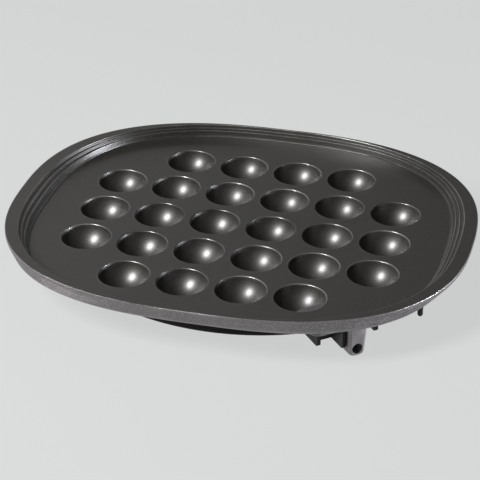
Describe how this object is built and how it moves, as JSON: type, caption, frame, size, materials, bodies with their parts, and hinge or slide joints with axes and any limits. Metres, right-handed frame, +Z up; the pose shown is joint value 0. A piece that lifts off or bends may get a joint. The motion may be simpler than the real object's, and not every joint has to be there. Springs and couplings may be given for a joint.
{
  "type": "electric takoyaki plate",
  "caption": "Oval electric takoyaki plate with hemispherical cups, stepped rim, heater and shield pan below, and a thermostat plug socket.",
  "frame": {"origin": "on the surface that the pan stands on, under the middle of the plate", "axes": "+Z up out of the cups, +X along the plate's long side to the right, +Y away from the side that the socket is on"},
  "size_m": [0.386, 0.3196, 0.0453],
  "materials": {
    "nonstick_plate": "dark non-stick coating on cast aluminium",
    "heat_shield": "dark satin heat-proof coating",
    "element_sheath": "annealed sheath",
    "bare_casting": "bare die casting",
    "guard_resin": "heat-proof phenolic moulding",
    "ceramic": "glazed ceramic",
    "nickel_plate": "nickel plated",
    "zinc_screws": "zinc plated",
    "stainless_strip": "stainless strip",
    "peg_steel": "dark turned steel"
  },
  "bodies": {
    "root": {"cooking_plate": "nonstick_plate", "heat_shield_pan": "heat_shield", "pan_screws": "zinc_screws", "heating_element": "element_sheath", "probe_socket": "bare_casting", "socket_screws": "zinc_screws", "terminal_guard": "guard_resin", "guard_screws": "zinc_screws", "element_seal_left": "ceramic", "terminal_strap_left": "nickel_plate", "pin_insulator_left": "ceramic", "terminal_pin_left": "nickel_plate", "element_seal_right": "ceramic", "terminal_strap_right": "nickel_plate", "pin_insulator_right": "ceramic", "terminal_pin_right": "nickel_plate", "locating_peg_1": "peg_steel", "locating_peg_2": "peg_steel", "locating_peg_3": "peg_steel", "locating_peg_4": "peg_steel", "heater_clip_1": "stainless_strip", "heater_clip_2": "stainless_strip", "heater_clip_3": "stainless_strip", "heater_clip_4": "stainless_strip", "heater_clip_5": "stainless_strip", "heater_clip_6": "stainless_strip"}
  },
  "joints": []
}
